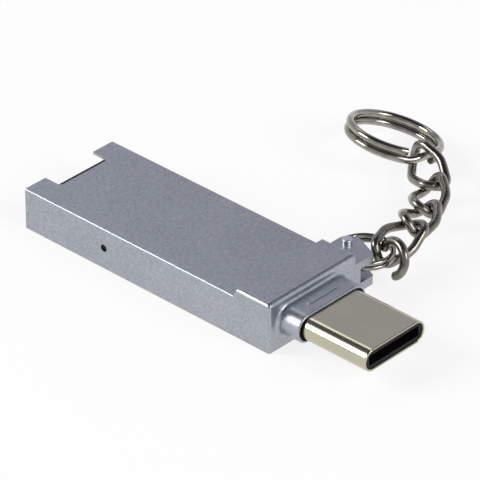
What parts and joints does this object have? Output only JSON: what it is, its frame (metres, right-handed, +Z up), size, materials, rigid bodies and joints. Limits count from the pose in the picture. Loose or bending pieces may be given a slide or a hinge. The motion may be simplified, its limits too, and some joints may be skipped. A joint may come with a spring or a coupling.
{
  "type": "usb memory card reader",
  "caption": "Flat metal memory card reader with a wide plug at one end and an oval plug at the other, a side lug and a curb chain with a split key ring.",
  "frame": {"origin": "centre of the housing's underside", "axes": "+X along the housing to the oval plug, +Y to the lug's side, +Z up from the underside"},
  "size_m": [0.042, 0.0384, 0.0054],
  "materials": {
    "satin_silver": "satin",
    "pin_steel": "polished",
    "plug_nickel": "satin",
    "chain_nickel": "polished",
    "can_steel": "satin",
    "gold_contact": "polished",
    "black_board": "matte",
    "black_plastic": "matte",
    "black_resin": "matte",
    "tan_ceramic": "matte"
  },
  "bodies": {
    "reader": {"housing": "satin_silver", "lug_pin": "pin_steel", "contact_board": "black_board", "usb_a_pads": "gold_contact", "card_stop": "black_plastic", "card_springs": "gold_contact", "controller_chip": "black_resin", "crystal": "can_steel", "capacitors": "tan_ceramic", "plug_carrier": "black_plastic", "plug_collar": "black_plastic", "usb_c_shell": "plug_nickel", "usb_c_core": "black_plastic", "usb_c_pins_upper": "gold_contact", "usb_c_pins_lower": "gold_contact", "usb_c_latches": "can_steel"},
    "small_ring": {"small_ring": "chain_nickel"},
    "open_link": {"open_link": "chain_nickel"},
    "chain_link_1": {"chain_link_1": "chain_nickel"},
    "chain_link_2": {"chain_link_2": "chain_nickel"},
    "chain_link_3": {"chain_link_3": "chain_nickel"},
    "chain_link_4": {"chain_link_4": "chain_nickel"},
    "key_ring": {"key_ring": "chain_nickel"}
  },
  "joints": [
    {"name": "ring_swing", "type": "hinge", "parent": "reader", "child": "small_ring", "pos_m": [0.01275, 0.00805, 0.00272], "axis": [0, 0, 1], "range_deg": [-10, 10]},
    {"name": "open_link_swing", "type": "hinge", "parent": "small_ring", "child": "open_link", "pos_m": [0.01387, 0.01089, 0.00311], "axis": [0, 0, 1], "range_deg": [-12, 12]},
    {"name": "link_1_swing", "type": "hinge", "parent": "open_link", "child": "chain_link_1", "pos_m": [0.01442, 0.0115, 0.00265], "axis": [0, 0, 1], "range_deg": [-8, 10]},
    {"name": "link_2_swing", "type": "hinge", "parent": "chain_link_1", "child": "chain_link_2", "pos_m": [0.01405, 0.01561, 0.00349], "axis": [0, 0, 1], "range_deg": [-15, 4]},
    {"name": "link_3_swing", "type": "hinge", "parent": "chain_link_2", "child": "chain_link_3", "pos_m": [0.01224, 0.0204, 0.00232], "axis": [0, 0, 1], "range_deg": [-10, 10]},
    {"name": "link_4_swing", "type": "hinge", "parent": "chain_link_3", "child": "chain_link_4", "pos_m": [0.00953, 0.02397, 0.0018], "axis": [0, 0, 1], "range_deg": [-15, 3]},
    {"name": "key_ring_swing", "type": "hinge", "parent": "chain_link_4", "child": "key_ring", "pos_m": [0.00601, 0.02636, 0.00345], "axis": [0, 0, 1], "range_deg": [-12, 12]}
  ]
}
